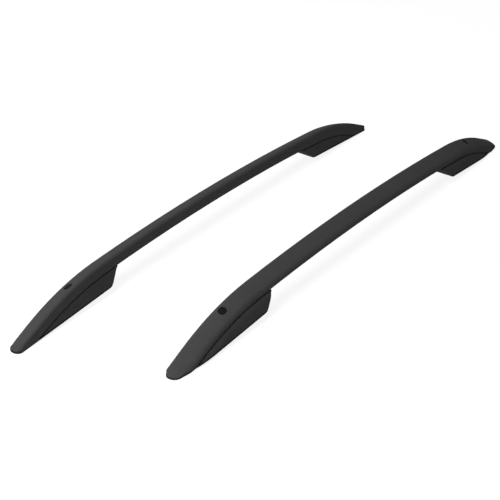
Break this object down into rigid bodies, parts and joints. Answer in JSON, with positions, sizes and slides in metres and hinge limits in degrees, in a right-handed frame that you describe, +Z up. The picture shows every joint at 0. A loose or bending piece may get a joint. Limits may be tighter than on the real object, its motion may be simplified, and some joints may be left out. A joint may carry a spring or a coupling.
{
  "type": "pair of roof side rails",
  "caption": "Mirror-image pair of black roof side rails: bent hollow bars on moulded feet with rubber gaskets and capped access holes, for fixing along a car roof.",
  "frame": {"origin": "middle of the pair, on the floor that the tips stand on", "axes": "+Y along the rails from front to rear, +X to the right, +Z up"},
  "size_m": [0.443, 1.6832, 0.1184],
  "materials": {
    "bar_finish": "satin black powder coat",
    "foot_plastic": "fine moulded grain",
    "gasket_rubber": "matt",
    "zinc_steel": "zinc plated",
    "wedge_metal": "die-cast",
    "plug_plastic": "smooth matt"
  },
  "bodies": {
    "root": {"right_rail_bar": "bar_finish", "right_front_foot": "foot_plastic", "right_rear_foot": "foot_plastic", "right_front_gasket": "gasket_rubber", "right_rear_gasket": "gasket_rubber", "right_front_sleeve": "zinc_steel", "right_rear_sleeve": "zinc_steel", "right_front_wedge": "wedge_metal", "right_rear_wedge": "wedge_metal", "right_front_plug": "plug_plastic", "right_rear_plug": "plug_plastic", "right_front_foot_screws": "zinc_steel", "right_rear_foot_screws": "zinc_steel", "left_rail_bar": "bar_finish", "left_front_foot": "foot_plastic", "left_rear_foot": "foot_plastic", "left_front_gasket": "gasket_rubber", "left_rear_gasket": "gasket_rubber", "left_front_sleeve": "zinc_steel", "left_rear_sleeve": "zinc_steel", "left_front_wedge": "wedge_metal", "left_rear_wedge": "wedge_metal", "left_front_plug": "plug_plastic", "left_rear_plug": "plug_plastic", "left_front_foot_screws": "zinc_steel", "left_rear_foot_screws": "zinc_steel"}
  },
  "joints": []
}
